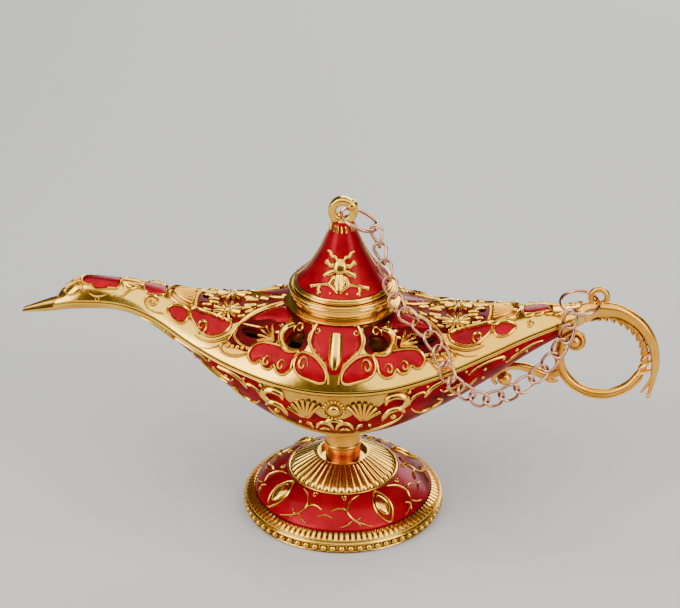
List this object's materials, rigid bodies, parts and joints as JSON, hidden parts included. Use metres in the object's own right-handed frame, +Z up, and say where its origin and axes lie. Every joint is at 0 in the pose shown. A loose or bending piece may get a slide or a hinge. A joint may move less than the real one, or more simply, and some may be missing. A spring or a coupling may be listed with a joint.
{
  "type": "decorative oil lamp",
  "caption": "Footed genie-style oil lamp: leaf-shaped pierced body with an open spout, scrolled loop handle and a lift-off lid tethered by a curb chain.",
  "frame": {"origin": "on the foot's axis, in the plane the foot stands on", "axes": "+Z up, +X towards the handle, -X towards the spout, -Y towards the front"},
  "size_m": [0.1233, 0.0398, 0.0671],
  "materials": {
    "plated_gold": "bright plated gold over cast zinc alloy",
    "red_enamel": "glossy translucent crimson enamel",
    "rose_chain": "bright pale rose-gold wire",
    "bare_steel": "plain steel"
  },
  "bodies": {
    "lamp": {"foot_casting": "plated_gold", "foot_tooth_ring": "plated_gold", "foot_enamel": "red_enamel", "fluted_cone": "plated_gold", "stem": "plated_gold", "base_washer": "bare_steel", "base_screw": "bare_steel", "lower_bowl": "plated_gold", "upper_shell": "plated_gold", "lid_collar": "plated_gold", "handle_top_bar": "plated_gold", "handle_leaves": "plated_gold", "handle_loop": "plated_gold", "handle_curl": "plated_gold", "handle_volute": "plated_gold", "handle_eye": "plated_gold"},
    "lid": {"lid_skirt": "plated_gold", "lid_ring": "plated_gold", "lid_cone": "red_enamel", "lid_eye": "plated_gold"},
    "handle_ring": {"handle_jump_ring": "rose_chain"},
    "link_01": {"chain_link_01": "rose_chain"},
    "link_02": {"chain_link_02": "rose_chain"},
    "link_03": {"chain_link_03": "rose_chain"},
    "link_04": {"chain_link_04": "rose_chain"},
    "link_05": {"chain_link_05": "rose_chain"},
    "link_06": {"chain_link_06": "rose_chain"},
    "link_07": {"chain_link_07": "rose_chain"},
    "link_08": {"chain_link_08": "rose_chain"},
    "link_09": {"chain_link_09": "rose_chain"},
    "link_10": {"chain_link_10": "rose_chain"},
    "link_11": {"chain_link_11": "rose_chain"},
    "link_12": {"chain_link_12": "rose_chain"},
    "link_13": {"chain_link_13": "rose_chain"},
    "link_14": {"chain_link_14": "rose_chain"},
    "link_15": {"chain_link_15": "rose_chain"},
    "link_16": {"chain_link_16": "rose_chain"},
    "link_17": {"chain_link_17": "rose_chain"},
    "link_18": {"chain_link_18": "rose_chain"},
    "link_19": {"chain_link_19": "rose_chain"},
    "link_20": {"chain_link_20": "rose_chain"},
    "link_21": {"chain_link_21": "rose_chain"},
    "lid_chain_ring": {"lid_jump_ring": "rose_chain"}
  },
  "joints": [
    {"name": "lid_lift", "type": "slide", "parent": "lamp", "child": "lid", "axis": [0, 0, 1], "range_m": [0, 0.01]},
    {"name": "handle_ring_swing", "type": "hinge", "parent": "lamp", "child": "handle_ring", "pos_m": [0.0486, 0, 0.04851], "axis": [-0.621, 0.7765, 0.1073], "range_deg": [0, 4.69]},
    {"name": "link_01_swing", "type": "hinge", "parent": "lamp", "child": "link_01", "pos_m": [0.04559, -0.00374, 0.04813], "axis": [-0.4799, 0.8697, 0.1151], "range_deg": [0, 13.73]},
    {"name": "link_02_swing", "type": "hinge", "parent": "lamp", "child": "link_02", "pos_m": [0.04473, -0.00409, 0.04702], "axis": [-0.4791, 0.8701, 0.1161], "range_deg": [0, 20.44]},
    {"name": "link_03_swing", "type": "hinge", "parent": "lamp", "child": "link_03", "pos_m": [0.04452, -0.00411, 0.04668], "axis": [-0.4794, 0.87, 0.1154], "range_deg": [0, 21.79]},
    {"name": "link_04_swing", "type": "hinge", "parent": "lamp", "child": "link_04", "pos_m": [0.04451, -0.00396, 0.0468], "axis": [-0.4802, 0.8697, 0.1141], "range_deg": [0, 21.52]},
    {"name": "link_05_swing", "type": "hinge", "parent": "lamp", "child": "link_05", "pos_m": [0.04466, -0.00365, 0.04722], "axis": [-0.4814, 0.8693, 0.1122], "range_deg": [0, 20.73]},
    {"name": "link_06_swing", "type": "hinge", "parent": "lamp", "child": "link_06", "pos_m": [0.04507, -0.00329, 0.04791], "axis": [-0.4834, 0.8685, 0.1097], "range_deg": [0, 19.7]},
    {"name": "link_07_swing", "type": "hinge", "parent": "lamp", "child": "link_07", "pos_m": [0.0459, -0.00295, 0.04883], "axis": [-0.4854, 0.8677, 0.1074], "range_deg": [0, 18.52]},
    {"name": "link_08_swing", "type": "hinge", "parent": "lamp", "child": "link_08", "pos_m": [0.04721, -0.0025, 0.04999], "axis": [-0.4869, 0.867, 0.106], "range_deg": [0, 17.22]},
    {"name": "link_09_swing", "type": "hinge", "parent": "lamp", "child": "link_09", "pos_m": [0.04897, -0.00152, 0.05147], "axis": [-0.4879, 0.8665, 0.1052], "range_deg": [0, 15.83]},
    {"name": "link_10_swing", "type": "hinge", "parent": "lamp", "child": "link_10", "pos_m": [0.05132, 0.00025, 0.05324], "axis": [-0.4908, 0.8651, 0.1033], "range_deg": [0, 14.32]},
    {"name": "link_11_swing", "type": "hinge", "parent": "lamp", "child": "link_11", "pos_m": [0.05498, 0.00229, 0.05524], "axis": [-0.4895, 0.8658, 0.1039], "range_deg": [0, 12.69]},
    {"name": "link_12_swing", "type": "hinge", "parent": "lamp", "child": "link_12", "pos_m": [0.06102, 0.00423, 0.05749], "axis": [-0.4596, 0.8805, 0.1163], "range_deg": [0, 10.94]},
    {"name": "link_13_swing", "type": "hinge", "parent": "lamp", "child": "link_13", "pos_m": [0.06984, 0.00641, 0.05997], "axis": [-0.3994, 0.9067, 0.1359], "range_deg": [0, 9.16]},
    {"name": "link_14_swing", "type": "hinge", "parent": "lamp", "child": "link_14", "pos_m": [0.08321, 0.00764, 0.06273], "axis": [-0.313, 0.9364, 0.1587], "range_deg": [0, 7.42]},
    {"name": "link_15_swing", "type": "hinge", "parent": "lamp", "child": "link_15", "pos_m": [0.10523, 0.00478, 0.06566], "axis": [-0.1909, 0.9641, 0.1844], "range_deg": [0, 5.72]},
    {"name": "link_16_swing", "type": "hinge", "parent": "lamp", "child": "link_16", "pos_m": [0.14505, -0.01295, 0.06755], "axis": [0.0053, 0.9765, 0.2155], "range_deg": [0, 4.05]},
    {"name": "link_17_swing", "type": "hinge", "parent": "lid", "child": "link_17", "pos_m": [0.02059, -0.01648, 0.05449], "axis": [-0.5318, 0.0019, 0.8468], "range_deg": [0, 9.65]},
    {"name": "link_18_swing", "type": "hinge", "parent": "lid", "child": "link_18", "pos_m": [0.01592, -0.0156, 0.05983], "axis": [-0.6907, 0.167, 0.7036], "range_deg": [0, 9.95]},
    {"name": "link_19_swing", "type": "hinge", "parent": "lid", "child": "link_19", "pos_m": [0.01136, -0.01374, 0.06306], "axis": [-0.77, 0.3067, 0.5595], "range_deg": [0, 10.5]},
    {"name": "link_20_swing", "type": "hinge", "parent": "lid", "child": "link_20", "pos_m": [0.00726, -0.01144, 0.06512], "axis": [-0.7989, 0.4436, 0.4061], "range_deg": [0, 11.01]},
    {"name": "link_21_swing", "type": "hinge", "parent": "lid", "child": "link_21", "pos_m": [0.00335, -0.00804, 0.06597], "axis": [-0.7476, 0.6422, 0.1692], "range_deg": [0, 12.11]},
    {"name": "lid_chain_ring_swing", "type": "hinge", "parent": "lid", "child": "lid_chain_ring", "pos_m": [0, 0, 0.0642], "axis": [-0.4621, 0.8772, -0.1305], "range_deg": [0, 17.21]}
  ],
  "couplings": [
    {"joint": "handle_ring_swing", "follows": "lid_lift", "rad_per_m": 8.1853},
    {"joint": "link_01_swing", "follows": "lid_lift", "rad_per_m": 23.963},
    {"joint": "link_02_swing", "follows": "lid_lift", "rad_per_m": 35.66},
    {"joint": "link_03_swing", "follows": "lid_lift", "rad_per_m": 38.022},
    {"joint": "link_04_swing", "follows": "lid_lift", "rad_per_m": 37.559},
    {"joint": "link_05_swing", "follows": "lid_lift", "rad_per_m": 36.17},
    {"joint": "link_06_swing", "follows": "lid_lift", "rad_per_m": 34.373},
    {"joint": "link_07_swing", "follows": "lid_lift", "rad_per_m": 32.316},
    {"joint": "link_08_swing", "follows": "lid_lift", "rad_per_m": 30.052},
    {"joint": "link_09_swing", "follows": "lid_lift", "rad_per_m": 27.62},
    {"joint": "link_10_swing", "follows": "lid_lift", "rad_per_m": 24.986},
    {"joint": "link_11_swing", "follows": "lid_lift", "rad_per_m": 22.143},
    {"joint": "link_12_swing", "follows": "lid_lift", "rad_per_m": 19.093},
    {"joint": "link_13_swing", "follows": "lid_lift", "rad_per_m": 15.983},
    {"joint": "link_14_swing", "follows": "lid_lift", "rad_per_m": 12.943},
    {"joint": "link_15_swing", "follows": "lid_lift", "rad_per_m": 9.9795},
    {"joint": "link_16_swing", "follows": "lid_lift", "rad_per_m": 7.0622},
    {"joint": "link_17_swing", "follows": "lid_lift", "rad_per_m": 16.827},
    {"joint": "link_18_swing", "follows": "lid_lift", "rad_per_m": 17.364},
    {"joint": "link_19_swing", "follows": "lid_lift", "rad_per_m": 18.309},
    {"joint": "link_20_swing", "follows": "lid_lift", "rad_per_m": 19.21},
    {"joint": "link_21_swing", "follows": "lid_lift", "rad_per_m": 21.13},
    {"joint": "lid_chain_ring_swing", "follows": "lid_lift", "rad_per_m": 30.032}
  ]
}
